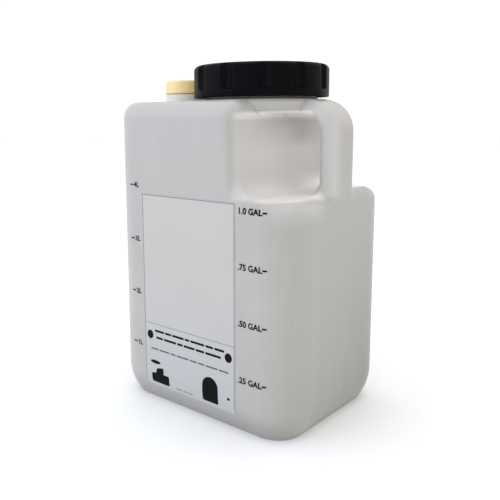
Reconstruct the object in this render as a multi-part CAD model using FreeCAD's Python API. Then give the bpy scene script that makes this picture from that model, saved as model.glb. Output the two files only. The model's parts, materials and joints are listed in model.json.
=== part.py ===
"""Blow-moulded rectangular canister with a moulded-in grip, a wide lobed screw cap, a capped
side port and a front label. Millimetres, +Z up, the labelled face towards -Y, and the origin
at the centre of the footprint."""
import FreeCAD, Part
import math
import os
from FreeCAD import Vector

# Canister outline
WIDTH = 176.5
DEPTH = 140.5
DECK_HEIGHT = 242.3
CORNER_RADIUS = 29.0
WALL = 2.2
EDGE_RADIUS = 12.0

# Foot and underside
FOOT_INSET = 8.7
FOOT_RISE = 26.3
BASE_RECESS = 3.0
BASE_RIM = 9.0
BASE_BEVEL = 2.0

# Grip cut into the top right corner
GRIP_WALL_X = 41.0
SILL_HEIGHT = 174.0
GRIP_CORNER_RADIUS = 15.0
GRIP_EDGE_RADIUS = 9.0
BAR_DEPTH = 36.0
BAR_THICKNESS = 13.0
BAR_SETBACK = 1.0
BAR_CORNER_RADIUS = 6.5
BAR_NOSE_RADIUS = 4.0
BAR_BEND_RADIUS = 17.0
BAR_ROOT = 24.0
BAR_FOOT_RADIUS = 10.0

# Main neck, on a round shoulder that overhangs the grip
NECK_X = 12.8
NECK_RADIUS = 43.0
NECK_WALL = 2.6
NECK_BEVEL = 1.6
SHOULDER_RADIUS = 53.0
SHOULDER_RISE = 0.6
SHOULDER_THICKNESS = 10.0
SHOULDER_BEVEL = 2.6
SHOULDER_BLEND_RADIUS = 5.0

# Screw cap and its sealing disc
CAP_STANDOFF = 2.5
CAP_BASE_HEIGHT = DECK_HEIGHT + CAP_STANDOFF
CAP_HEIGHT = 24.4
CAP_RADIUS = 52.5
CAP_TOP = 2.4
CAP_EDGE_RADIUS = 4.2
CAP_LOBES = 12
CAP_FIRST_GROOVE = 8.5
CAP_GROOVE_RADIUS = 6.0
CAP_GROOVE_DEPTH = 2.6
CAP_BAND_HEIGHT = 4.2
CAP_THREAD_SPACE = 3.6
CAP_LINER_THICKNESS = 1.6
LINER_CLEARANCE = 0.3

# Small port near the left edge, with its own cap and sealing disc
PORT_END_DISTANCE = 21.75
PORT_X = PORT_END_DISTANCE - WIDTH / 2
PORT_RADIUS = 16.4
PORT_WALL = 2.4
PORT_COLLAR_RADIUS = 18.8
PORT_COLLAR_GAP = 0.5
PORT_CAP_STANDOFF = 7.5
PORT_CAP_BASE_HEIGHT = DECK_HEIGHT + PORT_CAP_STANDOFF
PORT_CAP_HEIGHT = 11.4
PORT_CAP_RADIUS = 19.0
PORT_CAP_TOP = 1.8
PORT_CAP_EDGE_RADIUS = 1.6
PORT_CAP_STEP = 0.5
PORT_CAP_BAND_HEIGHT = 2.6
PORT_THREAD_SPACE = 1.0
PORT_LINER_THICKNESS = 1.2

# Label on the front face
LABEL_LEFT = -51.2
LABEL_RIGHT = 43.1
LABEL_BOTTOM = 14.7
LABEL_TOP = 171.3
LABEL_CORNER_RADIUS = 2.0
LABEL_THICKNESS = 0.2

# Leg of a 45 degree bevel that just touches a round of radius 1
BEVEL_SHARE = 2 - math.sqrt(2)

# Overlap used where one shape is run into or past another
OVERRUN = 5.0
TINY = 0.01


def cylinder(radius, bottom, top, x):
    return Part.makeCylinder(radius, top - bottom, Vector(x, 0, bottom))


def rounded_block(width, depth, bottom, top, radius):
    """Upright block on the origin with rounded vertical corners."""
    block = Part.makeBox(width, depth, top - bottom, Vector(-width / 2, -depth / 2, bottom))
    uprights = [e for e in block.Edges if abs(e.Vertexes[0].Z - e.Vertexes[1].Z) > TINY]
    return block.makeFillet(radius, uprights)


def on_circle(point, radius, height, x):
    return abs(point.z - height) < TINY and abs(math.hypot(point.x - x, point.y) - radius) < TINY


def circle_edges(shape, radius, height, x):
    """Edges of a shape that run round a level circle centred at x."""
    found = []
    for edge in shape.Edges:
        middle = edge.valueAt((edge.FirstParameter + edge.LastParameter) / 2)
        points = [middle] + [vertex.Point for vertex in edge.Vertexes]
        if all(on_circle(point, radius, height, x) for point in points):
            found.append(edge)
    return found


def soften(shape, radius, edges, inset):
    """Rounds edges of the skin, and bevels the same edges of the hollow to keep the wall."""
    if inset == 0:
        return shape.makeFillet(radius, edges)
    return shape.makeChamfer(BEVEL_SHARE * (radius - inset), edges)


def turned_block(radius, bottom, top, edge, x):
    """Upright round block whose upper rim is rounded off in two flat steps."""
    rim = x + radius - edge
    shoulder_height = top - edge
    step = edge * math.sqrt(0.5)
    outline = [
        Vector(x, 0, bottom),
        Vector(x + radius, 0, bottom),
        Vector(x + radius, 0, shoulder_height),
        Vector(rim + step, 0, shoulder_height + step),
        Vector(rim, 0, top),
        Vector(x, 0, top),
        Vector(x, 0, bottom),
    ]
    face = Part.Face(Part.makePolygon(outline))
    return face.revolve(Vector(x, 0, 0), Vector(0, 0, 1), 360)


def foot_ring(inset):
    """Stock outside the foot: an arc tangent to the wall, swept round the footprint."""
    arc_radius = (FOOT_INSET ** 2 + FOOT_RISE ** 2) / (2 * FOOT_INSET)
    centre_y = -DEPTH / 2 + arc_radius
    radius = arc_radius - inset
    top = Vector(0, centre_y - radius, FOOT_RISE)
    drop = FOOT_RISE - inset
    bottom = Vector(0, centre_y - math.sqrt(radius ** 2 - drop ** 2), inset)
    half_angle = math.asin(drop / radius) / 2
    middle = Vector(
        0,
        centre_y - radius * math.cos(half_angle),
        FOOT_RISE - radius * math.sin(half_angle),
    )
    outside = top.y - OVERRUN
    below = Vector(0, bottom.y, inset - OVERRUN)
    curve = [Part.Arc(top, middle, bottom).toShape()]
    if inset > 0:
        curve = [Part.makeLine(top, middle), Part.makeLine(middle, bottom)]
    profile = Part.Wire([
        *curve,
        Part.makeLine(bottom, below),
        Part.makeLine(below, Vector(0, outside, below.z)),
        Part.makeLine(Vector(0, outside, below.z), Vector(0, outside, top.z)),
        Part.makeLine(Vector(0, outside, top.z), top),
    ])
    footprint = rounded_block(
        WIDTH - 2 * inset, DEPTH - 2 * inset, inset, FOOT_RISE, CORNER_RADIUS - inset
    )
    bottom_face = min(footprint.Faces, key=lambda face: face.CenterOfMass.z)
    return bottom_face.OuterWire.makePipeShell([profile], True, False)


def grip_space(inset):
    """Everything above the sill and right of the grip wall, with a rounded inner corner."""
    left = GRIP_WALL_X - inset
    bottom = SILL_HEIGHT - inset
    block = Part.makeBox(
        WIDTH, DEPTH + 2 * OVERRUN, DECK_HEIGHT, Vector(left, -DEPTH / 2 - OVERRUN, bottom)
    )
    corner = [
        e for e in block.Edges
        if abs(e.CenterOfMass.x - left) < TINY and abs(e.CenterOfMass.z - bottom) < TINY
    ]
    return block.makeFillet(GRIP_CORNER_RADIUS + inset, corner)


def deck_edges(block, inset):
    """Edges round the deck, without the one that it shares with the grip's wall."""
    left = GRIP_WALL_X - inset
    deck = DECK_HEIGHT - inset
    return [
        e for e in block.Edges
        if min(v.Z for v in e.Vertexes) > deck - TINY and min(v.X for v in e.Vertexes) < left - TINY
    ]


def grip_edges(block, inset):
    """Edges of the grip's wall, rounded corner and sill, without the corner's seams."""
    left = GRIP_WALL_X - inset
    sill = SILL_HEIGHT - inset
    radius = GRIP_CORNER_RADIUS + inset
    seams = ((left, sill + radius), (left + radius, sill))
    found = []
    for edge in block.Edges:
        middle = edge.CenterOfMass
        on_seam = any(math.hypot(middle.x - x, middle.z - z) < TINY for x, z in seams)
        on_grip = all(
            v.Z > sill - TINY and (abs(v.X - left) < TINY or abs(v.Z - sill) < TINY)
            for v in edge.Vertexes
        )
        if on_grip and not on_seam:
            found.append(edge)
    return found


def shoulder(inset):
    """Round shelf that carries the neck out over the grip."""
    top = DECK_HEIGHT + SHOULDER_RISE - inset
    bottom = DECK_HEIGHT + SHOULDER_RISE - SHOULDER_THICKNESS + inset
    radius = SHOULDER_RADIUS - inset
    shelf = cylinder(radius, bottom, top, NECK_X)
    rims = [
        *circle_edges(shelf, radius, bottom, NECK_X),
        *circle_edges(shelf, radius, top, NECK_X),
    ]
    return shelf.makeChamfer(SHOULDER_BEVEL - BEVEL_SHARE * inset, rims)


def bar_section(x, z, inset):
    """Level section of the bar: flat outside, rounded corners, bowed inside; faceted if hollow."""
    half_depth = BAR_DEPTH / 2 - inset
    corner = BAR_CORNER_RADIUS - inset
    nose = BAR_NOSE_RADIUS - inset
    outer = x + BAR_THICKNESS / 2 - inset
    spine = outer - corner
    bow = BAR_THICKNESS - 2 * inset - corner
    bow_radius = (half_depth ** 2 + bow ** 2 - 2 * half_depth * nose) / (2 * (bow - nose))
    flat = half_depth - corner
    nose_y = half_depth - nose
    swing = math.atan2(nose_y, bow_radius - bow)
    half_swing = (math.pi / 2 - swing) / 2
    edge = Vector(outer, flat, z)
    rear = Vector(spine, half_depth, z)
    join = Vector(spine - nose * math.cos(swing), nose_y + nose * math.sin(swing), z)
    crown = Vector(spine - bow, 0, z)
    if inset > 0:
        side = [edge, rear, join]
        ring = [*side, crown, *[Vector(p.x, -p.y, z) for p in reversed(side)]]
        return Part.Face(Part.makePolygon([*ring, edge]))
    reach = corner * math.sqrt(0.5)
    corner_middle = Vector(spine + reach, flat + reach, z)
    nose_middle = Vector(
        spine - nose * math.sin(half_swing), nose_y + nose * math.cos(half_swing), z
    )
    half = [
        Part.makeLine(Vector(outer, 0, z), edge),
        Part.Arc(edge, corner_middle, rear).toShape(),
        Part.Arc(rear, nose_middle, join).toShape(),
    ]
    mirrored = [e.mirror(Vector(0, 0, z), Vector(0, 1, 0)) for e in half]
    inside = Part.Arc(join, crown, Vector(join.x, -join.y, z)).toShape()
    return Part.Face(Part.Wire(Part.__sortEdges__([*half, inside, *mirrored])))


def handle(inset):
    """Bar that rises from the sill, turns the corner and runs into the grip's wall."""
    x = WIDTH / 2 - BAR_SETBACK - BAR_THICKNESS / 2
    foot = SILL_HEIGHT - BAR_ROOT
    bend = DECK_HEIGHT - BAR_THICKNESS / 2 - BAR_BEND_RADIUS
    pivot = Vector(x - BAR_BEND_RADIUS, 0, bend)
    turn_axis = Vector(0, -1, 0)
    post = bar_section(x, foot, inset).extrude(Vector(0, 0, bend - foot))
    section = bar_section(x, bend, inset)
    corner = section.revolve(pivot, turn_axis, 90)
    end = section.copy()
    end.rotate(pivot, turn_axis, 90)
    run = end.extrude(Vector(GRIP_WALL_X - OVERRUN - pivot.x, 0, 0))
    return post.fuse([corner, run]).removeSplitter()


def base_recess(inset):
    """Shallow pocket that leaves the canister standing on a rim."""
    border = 2 * (FOOT_INSET + BASE_RIM - inset)
    radius = CORNER_RADIUS - border / 2
    top = BASE_RECESS + inset
    pocket = rounded_block(WIDTH - border, DEPTH - border, -OVERRUN, top, radius)
    upper = [e for e in pocket.Edges if all(abs(v.Z - top) < TINY for v in e.Vertexes)]
    return pocket.makeChamfer(BASE_BEVEL, upper)


def canister_block(inset):
    """Plain block of the canister with its rounded foot."""
    block = rounded_block(
        WIDTH - 2 * inset,
        DEPTH - 2 * inset,
        inset,
        DECK_HEIGHT - inset,
        CORNER_RADIUS - inset,
    )
    return block.cut(foot_ring(inset))


def edges_within(shape, low, high):
    """Edges whose ends all lie in a box, given by its lowest and highest corner."""
    found = []
    for edge in shape.Edges:
        ends = [vertex.Point for vertex in edge.Vertexes]
        if all(low.x < p.x < high.x and low.y < p.y < high.y and low.z < p.z < high.z
               for p in ends):
            found.append(edge)
    return found


def bar_foot_edges(shape):
    """Edges where the bar meets the sill."""
    left = GRIP_WALL_X + GRIP_CORNER_RADIUS
    return edges_within(
        shape,
        Vector(left, -BAR_DEPTH / 2 - TINY, SILL_HEIGHT - GRIP_EDGE_RADIUS),
        Vector(WIDTH / 2 + TINY, BAR_DEPTH / 2 + TINY, SILL_HEIGHT + TINY),
    )


def shoulder_root_edge(shape):
    """Edge where the underside of the shoulder meets the grip's wall."""
    shelf = DECK_HEIGHT + SHOULDER_RISE - SHOULDER_THICKNESS
    return edges_within(
        shape,
        Vector(GRIP_WALL_X - TINY, -SHOULDER_RADIUS, shelf - TINY),
        Vector(GRIP_WALL_X + TINY, SHOULDER_RADIUS, shelf + TINY),
    )


def canister_form(inset):
    """Solid bounded by the canister's skin, drawn in by the inset."""
    block = canister_block(inset).cut(grip_space(inset))
    block = soften(block, EDGE_RADIUS, deck_edges(block, inset), inset)
    block = soften(block, GRIP_EDGE_RADIUS, grip_edges(block, inset), inset)
    form = block.fuse(shoulder(inset)).removeSplitter()
    if inset == 0:
        form = form.makeFillet(SHOULDER_BLEND_RADIUS, shoulder_root_edge(form))
    form = form.fuse(handle(inset)).removeSplitter()
    if inset == 0:
        form = form.makeFillet(BAR_FOOT_RADIUS, bar_foot_edges(form))
    return form.cut(base_recess(inset))


def canister_body():
    """Hollow moulding: the skin form less the same form drawn in by the wall."""
    cap_inside = CAP_BASE_HEIGHT + CAP_HEIGHT - CAP_TOP
    port_inside = PORT_CAP_BASE_HEIGHT + PORT_CAP_HEIGHT - PORT_CAP_TOP
    neck_rim = cap_inside - CAP_LINER_THICKNESS
    port_rim = port_inside - PORT_LINER_THICKNESS
    root = DECK_HEIGHT - EDGE_RADIUS
    neck_root = DECK_HEIGHT - SHOULDER_THICKNESS / 2
    neck_foot_height = DECK_HEIGHT + SHOULDER_RISE
    outside = canister_form(0.0).fuse([
        cylinder(NECK_RADIUS, neck_root, neck_rim, NECK_X),
        cylinder(PORT_RADIUS, root, port_rim, PORT_X),
        cylinder(PORT_COLLAR_RADIUS, root, PORT_CAP_BASE_HEIGHT - PORT_COLLAR_GAP, PORT_X),
    ])
    outside = outside.removeSplitter()
    neck_foot = circle_edges(outside, NECK_RADIUS, neck_foot_height, NECK_X)
    outside = outside.makeChamfer(NECK_BEVEL, neck_foot)
    inside = canister_form(WALL).fuse([
        cylinder(NECK_RADIUS - NECK_WALL, neck_root, neck_rim + OVERRUN, NECK_X),
        cylinder(PORT_RADIUS - PORT_WALL, root, port_rim + OVERRUN, PORT_X),
    ])
    return outside.cut(inside)


def screw_cap():
    """Lobed cap: vertical grooves above a plain band, a rounded top edge, open underneath."""
    top = CAP_BASE_HEIGHT + CAP_HEIGHT
    inner = NECK_RADIUS + CAP_THREAD_SPACE
    cap = turned_block(CAP_RADIUS, CAP_BASE_HEIGHT, top, CAP_EDGE_RADIUS, NECK_X)
    reach = CAP_RADIUS + CAP_GROOVE_RADIUS - CAP_GROOVE_DEPTH
    groove_foot = CAP_BASE_HEIGHT + CAP_BAND_HEIGHT
    for number in range(CAP_LOBES):
        turn = math.radians(CAP_FIRST_GROOVE + 360 * number / CAP_LOBES)
        place = Vector(NECK_X + reach * math.cos(turn), reach * math.sin(turn), groove_foot)
        cap = cap.cut(Part.makeCylinder(CAP_GROOVE_RADIUS, CAP_HEIGHT, place))
    hollow = cylinder(inner, CAP_BASE_HEIGHT - OVERRUN, top - CAP_TOP, NECK_X)
    return cap.cut(hollow)


def cap_liner():
    """Soft disc under the cap's top, seated on the neck's rim."""
    top = CAP_BASE_HEIGHT + CAP_HEIGHT - CAP_TOP
    radius = NECK_RADIUS + CAP_THREAD_SPACE - LINER_CLEARANCE
    return cylinder(radius, top - CAP_LINER_THICKNESS, top, NECK_X)


def port_cap():
    """Plain cap with a slightly wider band at its foot."""
    top = PORT_CAP_BASE_HEIGHT + PORT_CAP_HEIGHT
    barrel_radius = PORT_CAP_RADIUS - PORT_CAP_STEP
    band_top = PORT_CAP_BASE_HEIGHT + PORT_CAP_BAND_HEIGHT
    cap = turned_block(barrel_radius, PORT_CAP_BASE_HEIGHT, top, PORT_CAP_EDGE_RADIUS, PORT_X)
    cap = cap.fuse(cylinder(PORT_CAP_RADIUS, PORT_CAP_BASE_HEIGHT, band_top, PORT_X))
    inner = PORT_RADIUS + PORT_THREAD_SPACE
    return cap.cut(cylinder(inner, PORT_CAP_BASE_HEIGHT - OVERRUN, top - PORT_CAP_TOP, PORT_X))


def port_liner():
    """Soft disc under the port cap's top, seated on the port's rim."""
    top = PORT_CAP_BASE_HEIGHT + PORT_CAP_HEIGHT - PORT_CAP_TOP
    radius = PORT_RADIUS + PORT_THREAD_SPACE - LINER_CLEARANCE
    return cylinder(radius, top - PORT_LINER_THICKNESS, top, PORT_X)


def front_label():
    """Printed film that lies on the front face and follows the foot's curve."""
    width = LABEL_RIGHT - LABEL_LEFT
    height = LABEL_TOP - LABEL_BOTTOM
    corner = Vector(LABEL_LEFT, -DEPTH / 2 - OVERRUN, LABEL_BOTTOM)
    window = Part.makeBox(width, DEPTH / 2, height, corner)
    corners = [e for e in window.Edges if abs(e.Length - DEPTH / 2) < TINY]
    window = window.makeFillet(LABEL_CORNER_RADIUS, corners)
    return canister_block(-LABEL_THICKNESS).cut(canister_block(0.0)).common(window)


def main():
    parts = {
        "canister_body": canister_body(),
        "screw_cap": screw_cap(),
        "cap_liner": cap_liner(),
        "port_cap": port_cap(),
        "port_cap_liner": port_liner(),
        "front_label": front_label(),
    }
    os.makedirs("parts", exist_ok=True)
    for name, shape in parts.items():
        shape.exportStep(os.path.join("parts", name + ".step"))
        print(name, shape.ShapeType, len(shape.Solids), shape.isValid(), round(shape.Volume))


main()
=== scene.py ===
import json
import math

import bmesh
import bpy
from mathutils import Matrix, Vector


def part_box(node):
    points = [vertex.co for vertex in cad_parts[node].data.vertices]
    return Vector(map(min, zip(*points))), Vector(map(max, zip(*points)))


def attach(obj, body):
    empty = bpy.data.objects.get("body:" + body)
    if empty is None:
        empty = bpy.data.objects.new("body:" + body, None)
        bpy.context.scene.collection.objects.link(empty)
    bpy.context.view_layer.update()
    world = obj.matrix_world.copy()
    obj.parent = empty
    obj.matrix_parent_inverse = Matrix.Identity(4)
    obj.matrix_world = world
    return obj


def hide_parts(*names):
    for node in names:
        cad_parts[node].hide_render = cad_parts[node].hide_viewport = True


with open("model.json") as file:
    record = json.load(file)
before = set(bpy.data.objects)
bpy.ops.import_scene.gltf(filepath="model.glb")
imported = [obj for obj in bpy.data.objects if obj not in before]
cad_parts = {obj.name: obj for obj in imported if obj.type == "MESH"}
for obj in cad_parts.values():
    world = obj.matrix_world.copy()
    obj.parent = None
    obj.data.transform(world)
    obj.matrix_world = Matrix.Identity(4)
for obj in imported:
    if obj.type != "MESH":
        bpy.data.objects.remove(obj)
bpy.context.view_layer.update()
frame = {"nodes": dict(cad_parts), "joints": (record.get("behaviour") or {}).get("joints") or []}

MM = 0.001


def box_mm(node):
    """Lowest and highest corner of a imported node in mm, to a hundredth."""
    return [[round(value / MM, 2) for value in corner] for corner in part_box(node)]


def axis_mm(joint_name):
    """Place across, in mm, of the axis of a packed turning joint."""
    joint = next(joint for joint in frame["joints"] if joint["name"] == joint_name)
    return round(joint["pos_m"][0] / MM, 2)


BODY_HIGH = box_mm("canister_body")[1]
LABEL_LOW, LABEL_HIGH = box_mm("front_label")
CAP_LOW, CAP_HIGH = box_mm("screw_cap")
CAP_LINER_HIGH = box_mm("cap_liner")[1]
PORT_CAP_LOW, PORT_CAP_HIGH = box_mm("port_cap")
PORT_LINER_HIGH = box_mm("port_cap_liner")[1]

# Camera, in the photograph's frame: degrees, mm, and the lens's own units
CAMERA_AZIMUTH = 41.826
CAMERA_PITCH = 8.968
CAMERA_ROLL = -0.539
CAMERA_DISTANCE = 525.405
CAMERA_SIDE = -35.711
CAMERA_HEIGHT = 149.519
CAMERA_SENSOR = 36.0
CAMERA_LENS = 45.969
CAMERA_SHIFT = (0.0908, -0.0674)
CAMERA_CLIP = 0.01

# Studio, in metres and watts
FLOOR_REACH = 6.0
WORLD_STRENGTH = 1.06
WHITE = (1.0, 1.0, 1.0)
COOL = (0.55, 0.68, 1.0)
LIGHT_POWER = 9.0
KEY_SPOT = (-0.9, -1.4, 0.7)
KEY_TARGET = (0.0, 0.0, 0.13)
KEY_SIZE = (1.2, 1.0)
TOP_SPOT = (-0.3, 0.5, 2.0)
TOP_TARGET = (-0.3, 0.5, 0.0)
TOP_SIZE = (3.0, 3.0)

# Canister's outline, mm
HALF_WIDTH = BODY_HIGH[0]
HALF_DEPTH = BODY_HIGH[1]
CORNER_RADIUS = 29.0
FLAT_HALF = HALF_WIDTH - CORNER_RADIUS
FOOT_INSET = 8.7
FOOT_RISE = 26.3
FOOT_ARC = (FOOT_INSET ** 2 + FOOT_RISE ** 2) / (2 * FOOT_INSET)

# Wide neck and its cap, mm
NECK_X = axis_mm("cap_turn")
NECK_RADIUS = 43.0
CAP_BASE = CAP_LOW[2]
CAP_TOP = CAP_HIGH[2]
CAP_RADIUS = CAP_HIGH[0] - NECK_X
CAP_INNER_RADIUS = NECK_RADIUS + 3.6
CAP_ROOF = CAP_TOP - CAP_LINER_HIGH[2]
CAP_ROOF_CORNER = 1.0
CAP_LIP_BEVEL = 0.5
CAP_LIP_ROUND = 0.7
CAP_LIP_STEPS = 3
CAP_MIDDLE_RINGS = (CAP_BASE + 11.2, CAP_BASE + 16.2)
CAP_ROUND = 4.2
CAP_ROUND_STEPS = 12
CAP_LEVEL_RINGS = (CAP_RADIUS - CAP_ROUND - 0.8, 20.0)
CAP_SEGMENTS = 576

# Grooves round the wide cap, mm and degrees
CAP_LOBES = 12
CAP_FIRST_GROOVE = 8.5
GROOVE_RADIUS = 6.0
GROOVE_DEPTH = 2.6
GROOVE_REACH = CAP_RADIUS + GROOVE_RADIUS - GROOVE_DEPTH
GROOVE_FOOT = CAP_BASE + 4.2
GROOVE_LEAD_IN = 0.4
GROOVE_RUN_OUT = 2.2
GROOVE_RUN_OUT_STEPS = 8
GROOVE_SOFTNESS = 0.5

# Port and its cap, mm
PORT_X = axis_mm("port_cap_turn")
PORT_RADIUS = 16.4
PORT_CAP_BASE = PORT_CAP_LOW[2]
PORT_CAP_TOP = PORT_CAP_HIGH[2]
PORT_CAP_RADIUS = PORT_CAP_HIGH[0] - PORT_X
PORT_CAP_INNER_RADIUS = PORT_RADIUS + 1.0
PORT_CAP_ROOF = PORT_CAP_TOP - PORT_LINER_HIGH[2]
PORT_CAP_LIP_BEVEL = 0.3
PORT_CAP_LIP_ROUND = 0.5
PORT_CAP_STEP = 0.5
PORT_CAP_BAND = 2.6
PORT_CAP_BAND_EDGE = 0.4
PORT_CAP_BAND_ROOT = (0.15, 0.3)
PORT_CAP_ROUND = 1.6
PORT_CAP_ROUND_STEPS = 8
PORT_CAP_SEGMENTS = 160

# Threads: mm, mm a turn, and degrees
NECK_LEAD = 5.08
PORT_LEAD = 4.2333
NECK_THREAD_LOW = CAP_BASE + 6.2
PORT_THREAD_LOW = PORT_CAP_BASE + 3.3
THREAD_ROOT = 0.15
THREAD_START = 200
THREAD_STEPS = 96
THREAD_FADE_STEPS = 10
THREAD_END_HEIGHT = 0.02
THREAD_END_WIDTH = 0.25
THREAD_CREST_SHARE = 0.45

# Where painted light and shade change the wall's tone round the grip and the deck, mm
GRIP_X = 41.0
BAR_X = HALF_WIDTH - 14.0
BAR_FRONT = -18.0
SILL_HEIGHT = 174.0
DECK_HEIGHT = CAP_BASE - 2.5
SHELF_HEIGHT = DECK_HEIGHT - 9.4
ABOVE_SILL = ("Z", SILL_HEIGHT - 2.8, SILL_HEIGHT + 0.8)
BELOW_SHELF = ("Z", SHELF_HEIGHT + 2.6, SHELF_HEIGHT - 0.4)
CLOSE_BELOW_SHELF = ("Z", SHELF_HEIGHT + 1.6, SHELF_HEIGHT - 0.4)
GRIP_WALL = (("X", GRIP_X - 2.5, GRIP_X), ("X", GRIP_X + 11.0, GRIP_X + 5.0))

# Printed scale, mm
SCALE_LIFT = 0.06
LITRE_FIRST = 47.3
LITRE_STEP = 43.45
LITRE_COUNT = 4
LITRE_DASH = (-65.4, -60.8)
LITRE_DASH_HALF = 0.55
LITRE_TEXT_LEFT = -60.2
LITRE_TEXT_SIZE = 5.6
GALLON_MARKS = ((".25 GAL", 43.2), (".50 GAL", 85.3), (".75 GAL", 126.5), ("1.0 GAL", 166.2))
GALLON_DASH = (66.4, 69.8)
GALLON_DASH_HALF = 0.6
GALLON_TEXT_LEFT = 45.6
GALLON_TEXT_SIZE = 6.1
TEXT_WEIGHT = 0.034

# Print on the label, mm. A row is its left, right, bottom, top and the shares of its bars
LABEL_LIFT = -LABEL_LOW[1] - HALF_DEPTH + 0.03
LABEL_MARGIN = 0.3
LABEL_LINE = 0.8
LABEL_DIVIDER = (66.4, 67.0)
LABEL_ROWS = (
    (-39.6, 33.0, 60.2, 62.0, (11, 7, 13, 5, 15, 8, 10)),
    (-38.1, 29.8, 54.7, 56.5, (8, 14, 6, 12, 9, 16)),
)
LABEL_FINE_ROWS = (
    (-44.2, 37.1, 45.0, 46.3, (9, 12, 6, 14, 8, 7, 13, 10)),
    (-17.3, 0.5, 17.5, 18.2, (8, 5, 6)),
)
ROW_GAP = 1.2
ROW_CORNER = 0.3

# Shapes on the label, mm. An oval is its middle and its half width and half height
LABEL_OVALS = ((-44.9, 57.0, 3.4, 3.6), (36.9, 57.2, 3.4, 3.6), (-39.6, 34.6, 5.6, 1.5))
LABEL_BLOCK = (-44.2, -24.6, 17.2, 25.6, -30.6, 31.0)
LABEL_ARCH = (11.0, 26.6, 17.4, 37.6)
LABEL_DOT = (36.8, 25.4, 1.3, 1.1)
OVAL_STEPS = 28
ARCH_STEPS = 16
CORNER_CUT = 1.0
BLOCK_LEAN = (5.0, 6.0)
BLOCK_LEAN_DROP = 1.5

# Cuts that let flat print follow the curved skin, mm
WRAP_STEP = 1.5
WRAP_CORNER_CUTS = 9
WRAP_MERGE = 1e-5


# Meshes

def link_object(name, data):
    item = bpy.data.objects.new(name, data)
    bpy.context.scene.collection.objects.link(item)
    return item


def mesh_object(name, vertices, faces, material, smooth=True):
    """Object made from points in mm and faces by index."""
    mesh = bpy.data.meshes.new(name)
    mesh.from_pydata([Vector(v) * MM for v in vertices], [], faces)
    mesh.validate()
    work = bmesh.new()
    work.from_mesh(mesh)
    bmesh.ops.recalc_face_normals(work, faces=work.faces)
    work.to_mesh(mesh)
    work.free()
    for polygon in mesh.polygons:
        polygon.use_smooth = smooth
    mesh.materials.append(material)
    return link_object(name, mesh)


def place(piece, body):
    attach(piece, body)


def arc_steps(radius, steps):
    """Drop and inset of points along a quarter round, from its side to its top."""
    points = []
    for i in range(steps + 1):
        angle = math.pi / 2 * i / steps
        points.append((radius * (1 - math.sin(angle)), radius * (1 - math.cos(angle))))
    return points


def turned_faces(rings, segments):
    """Faces between rings of point numbers; a ring of one point is the centre."""
    faces = []
    for low, high in zip(rings, rings[1:]):
        for i in range(segments):
            j = (i + 1) % segments
            if len(low) == 1:
                faces.append((low[0], high[i], high[j]))
            elif len(high) == 1:
                faces.append((low[i], low[j], high[0]))
            else:
                faces.append((low[i], low[j], high[j], high[i]))
    return faces


def closed_turning(name, outline, segments, x, material, cut_back=None):
    """Closed form turned about a vertical line at x. The outline runs from the inner centre, out
    round the lip and up to the outer centre; cut_back may draw its marked points in."""
    vertices = []
    rings = []
    for radius, z, outer in outline:
        if radius == 0:
            rings.append([len(vertices)])
            vertices.append((x, 0, z))
            continue
        ring = []
        for i in range(segments):
            angle = 2 * math.pi * i / segments
            here = cut_back(radius, angle, z) if outer else radius
            ring.append(len(vertices))
            vertices.append((x + here * math.cos(angle), here * math.sin(angle), z))
        rings.append(ring)
    return mesh_object(name, vertices, turned_faces(rings, segments), material)


def smooth_step(value, low, high):
    t = min(max((value - low) / (high - low), 0), 1)
    return t * t * (3 - 2 * t)


def in_grooves(radius, angle, z):
    """The smaller of a radius and the grooves' wall, with the edge between them softened."""
    spacing = 2 * math.pi / CAP_LOBES
    offset = (angle - math.radians(CAP_FIRST_GROOVE) + spacing / 2) % spacing - spacing / 2
    across = min(abs(GROOVE_REACH * math.sin(offset)), GROOVE_RADIUS)
    wall = math.sqrt(GROOVE_REACH ** 2 - across ** 2) - math.sqrt(GROOVE_RADIUS ** 2 - across ** 2)
    clear = math.sqrt(GROOVE_REACH ** 2 - GROOVE_RADIUS ** 2)
    wall = clear - (clear - wall) * smooth_step(z, GROOVE_FOOT, GROOVE_FOOT + GROOVE_RUN_OUT)
    return (radius + wall - math.hypot(radius - wall, GROOVE_SOFTNESS)) / 2


def screw_cap_inside():
    """Roof, wall and bevelled lip of the wide cap's inside, as (radius, height)."""
    roof = CAP_TOP - CAP_ROOF
    return [
        (0, roof),
        (CAP_INNER_RADIUS - CAP_ROOF_CORNER, roof),
        (CAP_INNER_RADIUS, roof - CAP_ROOF_CORNER),
        (CAP_INNER_RADIUS, CAP_BASE + CAP_LIP_BEVEL),
        (CAP_INNER_RADIUS + CAP_LIP_BEVEL, CAP_BASE),
    ]


def screw_cap_side():
    """Round lip, grooved side and round top edge of the wide cap, as (radius, height)."""
    lip = arc_steps(CAP_LIP_ROUND, CAP_LIP_STEPS)
    side = [(CAP_RADIUS - inset, CAP_BASE + drop) for drop, inset in reversed(lip)]
    side.append((CAP_RADIUS, GROOVE_FOOT - GROOVE_LEAD_IN))
    for i in range(GROOVE_RUN_OUT_STEPS + 1):
        side.append((CAP_RADIUS, GROOVE_FOOT + GROOVE_RUN_OUT * i / GROOVE_RUN_OUT_STEPS))
    side += [(CAP_RADIUS, z) for z in CAP_MIDDLE_RINGS]
    edge = arc_steps(CAP_ROUND, CAP_ROUND_STEPS)
    side += [(CAP_RADIUS - inset, CAP_TOP - drop) for drop, inset in edge]
    return side


def make_screw_cap(material):
    outline = [(radius, z, False) for radius, z in screw_cap_inside()]
    outline += [(radius, z, True) for radius, z in screw_cap_side()]
    outline += [(radius, CAP_TOP, False) for radius in (*CAP_LEVEL_RINGS, 0)]
    cap = closed_turning("wide_cap", outline, CAP_SEGMENTS, NECK_X, material, in_grooves)
    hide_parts("screw_cap")
    place(cap, "cap")


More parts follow.
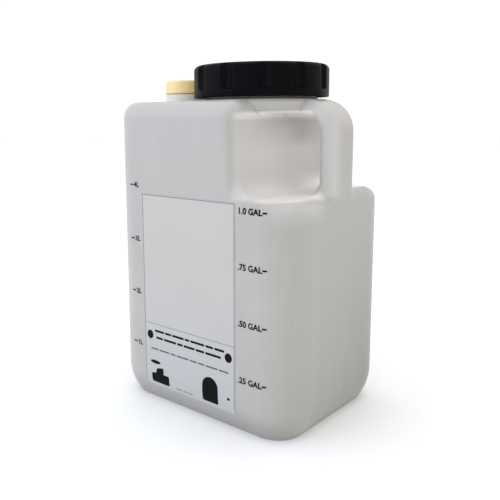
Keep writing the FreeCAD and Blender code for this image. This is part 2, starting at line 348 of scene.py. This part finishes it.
def make_port_cap(material):
    roof = PORT_CAP_TOP - PORT_CAP_ROOF
    barrel = PORT_CAP_RADIUS - PORT_CAP_STEP
    band_top = PORT_CAP_BASE + PORT_CAP_BAND
    root_out, root_up = PORT_CAP_BAND_ROOT
    points = [
        (0, roof),
        (PORT_CAP_INNER_RADIUS, roof),
        (PORT_CAP_INNER_RADIUS, PORT_CAP_BASE + PORT_CAP_LIP_BEVEL),
        (PORT_CAP_INNER_RADIUS + PORT_CAP_LIP_BEVEL, PORT_CAP_BASE),
    ]
    lip = arc_steps(PORT_CAP_LIP_ROUND, CAP_LIP_STEPS)
    points += [(PORT_CAP_RADIUS - inset, PORT_CAP_BASE + drop) for drop, inset in reversed(lip)]
    points += [
        (PORT_CAP_RADIUS, band_top - PORT_CAP_BAND_EDGE),
        (barrel + root_out, band_top),
        (barrel, band_top + root_up),
    ]
    edge = arc_steps(PORT_CAP_ROUND, PORT_CAP_ROUND_STEPS)
    points += [(barrel - inset, PORT_CAP_TOP - drop) for drop, inset in edge]
    points.append((0, PORT_CAP_TOP))
    outline = [(radius, z, False) for radius, z in points]
    cap = closed_turning("small_port_cap", outline, PORT_CAP_SEGMENTS, PORT_X, material)
    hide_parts("port_cap")
    place(cap, "port_closure")


def thread_ridge(name, x, wall, height, low, turns, lead, half_width, material):
    """Ridge that climbs a wall and fades out at both ends. It stands outwards from the wall,
    or inwards where its height is below zero."""
    root = wall - math.copysign(THREAD_ROOT, height)
    crest = wall + height
    count = int(THREAD_STEPS * turns)
    vertices = []
    for i in range(count + 1):
        angle = math.radians(THREAD_START) + 2 * math.pi * i / THREAD_STEPS
        z = low + lead * i / THREAD_STEPS
        full = smooth_step(min(i, count - i), 0, THREAD_FADE_STEPS)
        top = root + (crest - root) * (THREAD_END_HEIGHT + (1 - THREAD_END_HEIGHT) * full)
        flank = half_width * (THREAD_END_WIDTH + (1 - THREAD_END_WIDTH) * full)
        shelf = flank * THREAD_CREST_SHARE
        for radius, rise in ((root, -flank), (top, -shelf), (top, shelf), (root, flank)):
            vertices.append((x + radius * math.cos(angle), radius * math.sin(angle), z + rise))
    faces = [(0, 1, 2, 3)]
    for i in range(count):
        a, b = 4 * i, 4 * (i + 1)
        for k in range(4):
            m = (k + 1) % 4
            faces.append((a + k, a + m, b + m, b + k))
    last = 4 * count
    faces.append((last + 3, last + 2, last + 1, last))
    return mesh_object(name, vertices, faces, material, smooth=False)


def make_threads(plastic, black, yellow):
    ridge = thread_ridge(
        "neck_thread", NECK_X, wall=NECK_RADIUS, height=2.2, low=NECK_THREAD_LOW,
        turns=1.5, lead=NECK_LEAD, half_width=1.25, material=plastic,
    )
    place(ridge, "canister")
    ridge = thread_ridge(
        "cap_thread", NECK_X, wall=CAP_INNER_RADIUS, height=-1.7, low=NECK_THREAD_LOW - NECK_LEAD / 2,
        turns=1.25, lead=NECK_LEAD, half_width=1.15, material=black,
    )
    place(ridge, "cap")
    ridge = thread_ridge(
        "port_thread", PORT_X, wall=PORT_RADIUS, height=0.7, low=PORT_THREAD_LOW,
        turns=1.0, lead=PORT_LEAD, half_width=0.95, material=plastic,
    )
    place(ridge, "canister")
    ridge = thread_ridge(
        "port_cap_thread", PORT_X, wall=PORT_CAP_INNER_RADIUS, height=-0.6,
        low=PORT_THREAD_LOW - PORT_LEAD / 2, turns=0.9, lead=PORT_LEAD, half_width=0.85, material=yellow,
    )
    place(ridge, "port_closure")


# Print on the front

def skin_point(x, z, lift):
    """Point on the front face at a breadth and height, following the corners and the foot."""
    inset = 0.0
    if z < FOOT_RISE:
        inset = FOOT_ARC - math.sqrt(FOOT_ARC ** 2 - (FOOT_RISE - z) ** 2)
    if abs(x) <= FLAT_HALF:
        return (x, -HALF_DEPTH + inset - lift, z)
    turn = (abs(x) - FLAT_HALF) / CORNER_RADIUS
    radius = CORNER_RADIUS + lift - inset
    side = math.copysign(FLAT_HALF + radius * math.sin(turn), x)
    return (side, -(HALF_DEPTH - CORNER_RADIUS) - radius * math.cos(turn), z)


def cut_across(work, axis, height):
    where = Vector((0, 0, 0))
    where[axis] = height
    normal = Vector((0, 0, 0))
    normal[axis] = 1
    parts = [*work.verts, *work.edges, *work.faces]
    bmesh.ops.bisect_plane(work, geom=parts, plane_co=where, plane_no=normal, dist=WRAP_MERGE)


def wrap(name, work, lift, material):
    """Bends flat shapes onto the skin, after cutting them where the skin is curved."""
    heights = [v.co.y for v in work.verts]
    breadths = [v.co.x for v in work.verts]
    level = WRAP_STEP * math.ceil(min(heights) / WRAP_STEP)
    while level < min(max(heights), FOOT_RISE + WRAP_STEP):
        cut_across(work, 1, level)
        level += WRAP_STEP
    for side in (-1, 1):
        for step in range(WRAP_CORNER_CUTS):
            upright = side * (FLAT_HALF + WRAP_STEP * step)
            if min(breadths) < upright < max(breadths):
                cut_across(work, 0, upright)
    bmesh.ops.triangulate(work, faces=work.faces)
    for v in work.verts:
        v.co = Vector(skin_point(v.co.x, v.co.y, lift)) * MM
    mesh = bpy.data.meshes.new(name)
    work.to_mesh(mesh)
    work.free()
    mesh.materials.clear()
    mesh.materials.append(material)
    place(link_object(name, mesh), "canister")


def print_object(name, shapes, lift, material):
    """Flat shapes on the skin, each an outline of (breadth, height)."""
    work = bmesh.new()
    for outline in shapes:
        work.faces.new([work.verts.new((u, v, 0)) for u, v in outline])
    wrap(name, work, lift, material)


def bar(left, right, bottom, top, cut=0.0):
    """Rectangle, with its corners cut if cut is given."""
    if cut == 0:
        return [(left, bottom), (right, bottom), (right, top), (left, top)]
    return [
        (left, bottom + cut), (left + cut, bottom), (right - cut, bottom), (right, bottom + cut),
        (right, top - cut), (right - cut, top), (left + cut, top), (left, top - cut),
    ]


def oval(u, v, half_width, half_height):
    points = []
    for i in range(OVAL_STEPS):
        angle = 2 * math.pi * i / OVAL_STEPS
        points.append((u + half_width * math.cos(angle), v + half_height * math.sin(angle)))
    return points


def cut_foot(left, right, bottom):
    """Lower edge of a block, with its two corners cut."""
    cut = CORNER_CUT
    return [(left, bottom + cut), (left + cut, bottom), (right - cut, bottom), (right, bottom + cut)]


def arch(left, right, bottom, top):
    """Upright block with a round top."""
    radius = (right - left) / 2
    crown = []
    for i in range(ARCH_STEPS + 1):
        angle = math.pi * i / ARCH_STEPS
        u = (left + right) / 2 + radius * math.cos(angle)
        crown.append((u, top - radius + radius * math.sin(angle)))
    return [*cut_foot(left, right, bottom), *crown]


def stepped_block(left, right, bottom, middle, step, top):
    """Low block with a narrower block on its left part, whose left side leans."""
    cut = CORNER_CUT
    lean_foot, lean_head = BLOCK_LEAN
    return [
        *cut_foot(left, right, bottom), (right, middle - cut), (right - cut, middle),
        (step, middle), (step, top - cut), (step - cut, top),
        (left + lean_head, top - BLOCK_LEAN_DROP), (left + lean_foot, middle), (left, middle - cut),
    ]


def flat_words(text, size):
    """Mesh of a line of text in the plane, starting at the origin."""
    curve = bpy.data.curves.new("words", "FONT")
    curve.body = text
    curve.size = size
    curve.align_y = "CENTER"
    curve.offset = TEXT_WEIGHT * size
    holder = link_object("words", curve)
    bpy.context.view_layer.update()
    flat = bpy.data.meshes.new_from_object(holder)
    bpy.data.objects.remove(holder)
    bpy.data.curves.remove(curve)
    return flat


def text_piece(name, words, size, lift, material):
    """Words printed on the skin. Each is (text, left end, middle height)."""
    work = bmesh.new()
    for text, left, middle in words:
        flat = flat_words(text, size)
        flat.transform(Matrix.Translation((left, middle, 0)))
        work.from_mesh(flat)
        bpy.data.meshes.remove(flat)
    wrap(name, work, lift, material)


def make_scale(material):
    dashes = []
    litres = []
    for number in range(LITRE_COUNT):
        z = LITRE_FIRST + LITRE_STEP * number
        dashes.append(bar(*LITRE_DASH, z - LITRE_DASH_HALF, z + LITRE_DASH_HALF))
        litres.append((f"{number + 1}L", LITRE_TEXT_LEFT, z))
    text_piece("litre_figures", litres, LITRE_TEXT_SIZE, SCALE_LIFT, material)
    gallons = []
    for text, z in GALLON_MARKS:
        dashes.append(bar(*GALLON_DASH, z - GALLON_DASH_HALF, z + GALLON_DASH_HALF))
        gallons.append((text, GALLON_TEXT_LEFT, z))
    text_piece("gallon_figures", gallons, GALLON_TEXT_SIZE, SCALE_LIFT, material)
    print_object("scale_dashes", dashes, SCALE_LIFT, material)


def broken_row(left, right, bottom, top, shares):
    """Row of bars with small gaps, whose lengths go by the shares."""
    unit = (right - left - ROW_GAP * (len(shares) - 1)) / sum(shares)
    row = []
    for share in shares:
        row.append(bar(left, left + unit * share, bottom, top, ROW_CORNER))
        left += unit * share + ROW_GAP
    return row


def make_label_lines(material):
    """Line round the top and sides of the label, and the line across it."""
    left, _, low = LABEL_LOW
    right, _, high = LABEL_HIGH
    left += LABEL_MARGIN
    right -= LABEL_MARGIN
    top = high - LABEL_MARGIN
    below = top - LABEL_LINE
    bottom = low + LABEL_LINE
    rim = [
        bar(left, right, below, top),
        bar(left, left + LABEL_LINE, bottom, below),
        bar(right - LABEL_LINE, right, bottom, below),
    ]
    print_object("label_rim", rim, LABEL_LIFT, material)
    divider = bar(left + LABEL_LINE, right - LABEL_LINE, *LABEL_DIVIDER)
    print_object("label_divider", [divider], LABEL_LIFT, material)


def make_label_print(dark_ink, edge_ink, faint_ink):
    """Plain bars and simple shapes where the label carries its print."""
    make_label_lines(edge_ink)
    for name, rows, material in (
        ("label_bars", LABEL_ROWS, dark_ink), ("label_fine_bars", LABEL_FINE_ROWS, faint_ink)
    ):
        bars = [shape for row in rows for shape in broken_row(*row)]
        print_object(name, bars, LABEL_LIFT, material)
    marks = [oval(*spot) for spot in LABEL_OVALS]
    marks += [stepped_block(*LABEL_BLOCK), arch(*LABEL_ARCH), oval(*LABEL_DOT)]
    print_object("label_marks", marks, LABEL_LIFT, dark_ink)


# Materials

class Recipe:
    """A node material with one Principled shader, built a node at a time."""

    def __init__(self, name):
        self.material = bpy.data.materials.new(name)
        self.material.use_nodes = True
        self.tree = self.material.node_tree
        self.shader = self.tree.nodes["Principled BSDF"]
        self.place = self.add("ShaderNodeTexCoord").outputs["Object"]

    def add(self, kind, **settings):
        node = self.tree.nodes.new(kind)
        for key, value in settings.items():
            setattr(node, key, value)
        return node

    def link(self, source, target):
        self.tree.links.new(source, target)

    def to_shader(self, source, socket):
        self.link(source, self.shader.inputs[socket])

    def set(self, **values):
        for key, value in values.items():
            self.shader.inputs[key.replace("_", " ")].default_value = value

    def stretched(self, scale):
        mapping = self.add("ShaderNodeMapping")
        mapping.inputs["Scale"].default_value = scale
        self.link(self.place, mapping.inputs["Vector"])
        return mapping.outputs["Vector"]

    def noise(self, scale, detail=3.0, roughness=0.5, where=None):
        node = self.add("ShaderNodeTexNoise")
        node.inputs["Scale"].default_value = scale
        node.inputs["Detail"].default_value = detail
        node.inputs["Roughness"].default_value = roughness
        self.link(where or self.place, node.inputs["Vector"])
        return node.outputs["Fac"]

    def remap(self, value, before, after=(0.0, 1.0)):
        """Takes a value from one range to another, and holds it there."""
        node = self.add("ShaderNodeMapRange", clamp=True)
        sockets = ("From Min", "From Max", "To Min", "To Max")
        for socket, number in zip(sockets, (*before, *after)):
            node.inputs[socket].default_value = number
        self.link(value, node.inputs["Value"])
        return node.outputs["Result"]

    def mix(self, factor, first, second):
        node = self.add("ShaderNodeMix", data_type="RGBA")
        self.link(factor, node.inputs["Factor"])
        for socket, colour in ((node.inputs[6], first), (node.inputs[7], second)):
            if isinstance(colour, tuple):
                socket.default_value = (*colour, 1)
            else:
                self.link(colour, socket)
        return node.outputs[2]

    def bump(self, height, distance, strength, under=None):
        node = self.add("ShaderNodeBump")
        node.inputs["Distance"].default_value = distance
        node.inputs["Strength"].default_value = strength
        self.link(height, node.inputs["Height"])
        if under is not None:
            self.link(under, node.inputs["Normal"])
        return node.outputs["Normal"]

    def coordinate(self, axis):
        split = self.add("ShaderNodeSeparateXYZ")
        self.link(self.place, split.inputs["Vector"])
        return split.outputs[axis]

    def ramp(self, axis, start, end):
        """0 where a coordinate in mm is at the start, up to 1 at the end."""
        return self.remap(self.coordinate(axis), (start * MM, end * MM))

    def both(self, first, second):
        node = self.add("ShaderNodeMath", operation="MULTIPLY")
        self.link(first, node.inputs[0])
        self.link(second, node.inputs[1])
        return node.outputs[0]

    def tint(self, body, colour, *ramps):
        """Brings a colour in where all the ramps, each (axis, start, end), are up."""
        cover = self.ramp(*ramps[0])
        for ramp in ramps[1:]:
            cover = self.both(cover, self.ramp(*ramp))
        return self.mix(cover, body, colour)

    def near_plane(self, axis, half_width):
        """1 on the plane where a coordinate is 0, falling to 0 at the half width in mm."""
        size = self.add("ShaderNodeMath", operation="ABSOLUTE")
        self.link(self.coordinate(axis), size.inputs[0])
        return self.remap(size.outputs[0], (0.0, half_width * MM), (1.0, 0.0))


def paint_grip_light_and_shade(r, body):
    """Painted light brightens the wall and sill beside the grip and the shelf's underside, and painted
    shade darkens the wall's upper rear part.
    """
    body = r.tint(
        body, (0.89, 0.86, 0.83), ("X", GRIP_X - 4.0, GRIP_X + 21.0), ABOVE_SILL, BELOW_SHELF
    )
    body = r.tint(
        body, (0.87, 0.84, 0.81), ("X", GRIP_X - 1.0, GRIP_X + 5.0),
        ("Z", SILL_HEIGHT + 16.0, SILL_HEIGHT + 4.0), ("Y", -68.0, -28.0), ABOVE_SILL, BELOW_SHELF,
    )
    body = r.tint(
        body, (0.73, 0.70, 0.67), *GRIP_WALL, ("Y", -85.0, -12.0), ("Y", 40.0, 4.0),
        ("Z", SILL_HEIGHT - 2.0, SILL_HEIGHT + 6.0), ("Z", SHELF_HEIGHT - 0.9, SILL_HEIGHT + 31.0),
    )
    body = r.tint(
        body, (0.42, 0.405, 0.385), *GRIP_WALL, ("Z", SILL_HEIGHT + 32.0, SILL_HEIGHT + 43.0),
        CLOSE_BELOW_SHELF, ("Y", -4.0, 16.0),
    )
    return r.tint(
        body, (0.84, 0.81, 0.78), ("Z", SHELF_HEIGHT - 5.9, SHELF_HEIGHT - 1.9),
        CLOSE_BELOW_SHELF, ("X", GRIP_X - 3.0, GRIP_X + 2.0),
    )


def paint_bar_light(r, body):
    """The bar keeps the plain tone, with painted light on its front outer edge and its bend."""
    body = r.tint(
        body, (0.415, 0.401, 0.379), ("X", BAR_X - 3.75, BAR_X + 0.25),
        ("Y", BAR_FRONT - 6.5, BAR_FRONT - 1.5), ("Z", SILL_HEIGHT - 8.0, SILL_HEIGHT - 3.0),
    )
    body = r.tint(
        body, (0.52, 0.505, 0.485), ("X", BAR_X + 5.75, BAR_X + 12.25), ("Y", 0.0, -13.0),
        ABOVE_SILL, BELOW_SHELF,
    )
    return r.tint(
        body, (0.50, 0.485, 0.465), ("X", BAR_X - 6.25, BAR_X + 0.75),
        ("Z", SHELF_HEIGHT - 13.9, SHELF_HEIGHT - 0.9),
    )


def paint_edge_light_and_shade(r, body):
    """Painted light on the sill's corner and the deck's front edge, and painted shade on the foot's
    front.
    """
    body = r.tint(
        body, (0.50, 0.485, 0.465), ("X", 60.0, 78.0), ("Z", SILL_HEIGHT - 18.0, SILL_HEIGHT - 6.0),
        ("Z", SILL_HEIGHT - 0.5, SILL_HEIGHT - 2.0), ("Y", -22.0, -36.0),
    )
    body = r.tint(
        body, (0.47, 0.455, 0.43), ("Z", DECK_HEIGHT - 13.3, DECK_HEIGHT - 4.3), ("Y", -56.0, -62.0)
    )
    return r.tint(body, (0.325, 0.318, 0.304), ("Z", 22.0, 9.0), ("Y", -44.0, -57.0))


def natural_plastic():
    """Milky blow-moulded polyethylene: cloudy wall, faint drawn lines, satin skin, parting line.
    Painted shade darkens the wall towards the foot's far corner, and painted light brightens it round
    the grip."""
    r = Recipe("natural_plastic")
    cloud = r.remap(r.noise(14.0, detail=4.0, roughness=0.55), (0.35, 0.65))
    drawn = r.noise(1.0, where=r.stretched((260.0, 260.0, 5.0)))
    body = r.mix(cloud, (0.424, 0.410, 0.387), (0.406, 0.392, 0.369))
    # Painted shade: the wall darkens towards the foot's far corner.
    body = r.tint(
        body, (0.272, 0.266, 0.242), ("X", 70.0, 88.0), ("Z", 190.0, 15.0), ("Y", -85.0, 35.0)
    )
    # Painted light and shade round the grip.
    body = paint_grip_light_and_shade(r, body)
    # Painted light on the bar's front outer edge and its bend.
    body = paint_bar_light(r, body)
    # Painted light on the sill's corner and deck edge, painted shade on the foot's front.
    body = paint_edge_light_and_shade(r, body)
    body = r.tint(
        body, (0.80, 0.74, 0.68), ("X", -40.0, -46.0), ("Z", DECK_HEIGHT + 0.2, DECK_HEIGHT + 1.2)
    )
    body = r.mix(r.remap(drawn, (0.3, 0.7), (0.0, 0.10)), body, (0.52, 0.515, 0.505))
    seam = r.near_plane("Y", 0.4)
    body = r.mix(r.remap(seam, (0.0, 1.0), (0.0, 0.15)), body, (0.30, 0.30, 0.29))
    r.to_shader(body, "Base Color")
    skin = r.noise(90.0, detail=5.0, roughness=0.6)
    r.to_shader(r.remap(skin, (0.3, 0.7), (0.34, 0.46)), "Roughness")
    grain = r.bump(r.noise(2600.0, detail=2.0), distance=0.0001, strength=0.10)
    waves = r.bump(r.noise(26.0, detail=2.0), distance=0.0016, strength=0.30, under=grain)
    lines = r.bump(drawn, distance=0.0003, strength=0.12, under=waves)
    r.to_shader(r.bump(seam, distance=0.0002, strength=0.5, under=lines), "Normal")
    r.set(IOR=1.5, Subsurface_Weight=0.35, Subsurface_Scale=0.004)
    r.set(Subsurface_Radius=(1.0, 0.95, 0.88))
    return r.material


def black_plastic():
    """Moulded black closure: fine spark texture, faint scuffs on a satin skin."""
    r = Recipe("black_plastic")
    scuff = r.remap(r.noise(180.0, detail=6.0, roughness=0.7), (0.55, 0.75), (0.0, 0.5))
    r.to_shader(r.mix(scuff, (0.0016, 0.0016, 0.0026), (0.0050, 0.0050, 0.0065)), "Base Color")
    skin = r.noise(60.0, detail=5.0, roughness=0.6)
    r.to_shader(r.remap(skin, (0.3, 0.7), (0.36, 0.50)), "Roughness")
    grain = r.bump(r.noise(3200.0, detail=2.0), distance=0.00012, strength=0.22)
    r.to_shader(r.bump(r.noise(120.0), distance=0.0002, strength=0.15, under=grain), "Normal")
    r.set(IOR=1.5, Specular_IOR_Level=0.05)
    return r.material


def yellow_plastic():
    """Pale yellow moulded cap, a little cloudy, with a painted highlight that makes it paler towards its
    top.
    """
    r = Recipe("yellow_plastic")
    cloud = r.remap(r.noise(70.0, detail=4.0, roughness=0.6), (0.35, 0.65))
    body = r.mix(cloud, (0.86, 0.665, 0.310), (0.82, 0.630, 0.290))
    # Painted highlight: paler colour along the top.
    body = r.tint(body, (0.87, 0.74, 0.44), ("Z", PORT_CAP_TOP - 3.2, PORT_CAP_TOP))
    r.to_shader(body, "Base Color")
    skin = r.noise(140.0, detail=4.0, roughness=0.6)
    r.to_shader(r.remap(skin, (0.3, 0.7), (0.36, 0.48)), "Roughness")
    r.to_shader(r.bump(r.noise(3000.0, detail=2.0), distance=0.0001, strength=0.15), "Normal")
    r.set(IOR=1.5, Subsurface_Weight=0.15, Subsurface_Scale=0.002)
    return r.material


def foam():
    """Closed-cell sealing disc."""
    r = Recipe("liner_foam")
    cells = r.add("ShaderNodeTexVoronoi")
    cells.inputs["Scale"].default_value = 1400.0
    r.link(r.place, cells.inputs["Vector"])
    shade = r.remap(cells.outputs["Distance"], (0.0, 0.8))
    r.to_shader(r.mix(shade, (0.78, 0.78, 0.75), (0.84, 0.84, 0.82)), "Base Color")
    r.to_shader(r.bump(cells.outputs["Distance"], distance=0.0002, strength=0.4), "Normal")
    r.set(Roughness=0.85)
    return r.material


def label_film():
    """White printed film with a soft sheen and the wall's slight waviness under it."""
    r = Recipe("label_film")
    cloud = r.remap(r.noise(16.0, detail=4.0), (0.35, 0.65))
    film = r.mix(cloud, (0.478, 0.460, 0.432), (0.464, 0.446, 0.419))
    # Painted shade: the film turns darker and cooler towards its lower end.
    film = r.tint(film, (0.436, 0.443, 0.446), ("Z", 120.0, 20.0))
    r.to_shader(film, "Base Color")
    skin = r.noise(110.0, detail=4.0, roughness=0.6)
    r.to_shader(r.remap(skin, (0.3, 0.7), (0.38, 0.50)), "Roughness")
    grain = r.bump(r.noise(2200.0, detail=2.0), distance=0.00006, strength=0.12)
    waves = r.bump(r.noise(30.0, detail=2.0), distance=0.0010, strength=0.22, under=grain)
    r.to_shader(waves, "Normal")
    r.set(IOR=1.46)
    return r.material


def ink(name, dark, light):
    """Printed ink whose cover is a little uneven."""
    r = Recipe(name)
    cover = r.remap(r.noise(700.0, detail=4.0, roughness=0.6), (0.35, 0.75))
    r.to_shader(r.mix(cover, dark, light), "Base Color")
    r.to_shader(r.remap(r.noise(300.0), (0.3, 0.7), (0.45, 0.6)), "Roughness")
    r.set(Specular_IOR_Level=0.06)
    return r.material


def backdrop():
    """Pale matt floor."""
    r = Recipe("pale_floor")
    r.to_shader(r.mix(r.noise(3.0), (0.945, 0.945, 0.945), (0.955, 0.955, 0.955)), "Base Color")
    r.set(Roughness=0.8)
    return r.material


# Studio

def make_camera():
    azimuth = math.radians(CAMERA_AZIMUTH)
    pitch = math.radians(CAMERA_PITCH)
    roll = math.radians(CAMERA_ROLL)
    forward = Vector((
        -math.sin(azimuth) * math.cos(pitch), math.cos(azimuth) * math.cos(pitch), -math.sin(pitch)
    ))
    level = Vector((math.cos(azimuth), math.sin(azimuth), 0))
    upright = level.cross(forward)
    right = level * math.cos(roll) + upright * math.sin(roll)
    up = upright * math.cos(roll) - level * math.sin(roll)
    spot = Vector((0, 0, CAMERA_HEIGHT)) + level * CAMERA_SIDE - forward * CAMERA_DISTANCE
    turn = Matrix((right, up, -forward)).transposed().to_4x4()
    data = bpy.data.cameras.new("camera")
    data.sensor_width = CAMERA_SENSOR
    data.lens = CAMERA_LENS
    data.shift_x, data.shift_y = CAMERA_SHIFT
    data.clip_start = CAMERA_CLIP
    camera = link_object("camera", data)
    camera.matrix_world = Matrix.Translation(spot * MM) @ turn
    bpy.context.scene.camera = camera


def area_light(name, spot, target, size, colour):
    data = bpy.data.lights.new(name, "AREA")
    data.shape = "RECTANGLE"
    data.size, data.size_y = size
    data.energy = LIGHT_POWER
    data.color = colour
    light = link_object(name, data)
    light.location = spot
    aim = Vector(target) - Vector(spot)
    light.rotation_euler = aim.to_track_quat("-Z", "Y").to_euler()


def make_floor(material):
    mesh = bpy.data.meshes.new("floor")
    reach = FLOOR_REACH
    corners = [(-reach, -reach, 0), (reach, -reach, 0), (reach, reach, 0), (-reach, reach, 0)]
    mesh.from_pydata(corners, [], [(0, 1, 2, 3)])
    mesh.materials.append(material)
    floor = link_object("floor", mesh)


def make_studio():
    make_floor(backdrop())
    world = bpy.data.worlds.new("studio")
    world.use_nodes = True
    background = world.node_tree.nodes["Background"]
    background.inputs["Color"].default_value = (*WHITE, 1)
    background.inputs["Strength"].default_value = WORLD_STRENGTH
    bpy.context.scene.world = world
    area_light("key", KEY_SPOT, KEY_TARGET, KEY_SIZE, COOL)
    area_light("top", TOP_SPOT, TOP_TARGET, TOP_SIZE, WHITE)
    bpy.context.scene.view_settings.view_transform = "Standard"


# Assembly

def dress(node, material):
    frame["nodes"][node].data.materials.clear()
    frame["nodes"][node].data.materials.append(material)


plastic = natural_plastic()
black = black_plastic()
yellow = yellow_plastic()
liner = foam()
dress("canister_body", plastic)
dress("front_label", label_film())
dress("cap_liner", liner)
dress("port_cap_liner", liner)
dress("screw_cap", black)
dress("port_cap", yellow)
make_screw_cap(black)
make_port_cap(yellow)
make_threads(plastic, black, yellow)
black_ink = ink("black_ink", (0.0018, 0.0018, 0.0020), (0.0065, 0.0065, 0.0070))
make_scale(black_ink)
make_label_print(
    black_ink,
    ink("grey_edge_ink", (0.23, 0.24, 0.26), (0.29, 0.30, 0.32)),
    ink("grey_ink", (0.10, 0.10, 0.11), (0.16, 0.16, 0.17)),
)
make_studio()
make_camera()

bpy.context.view_layer.update()
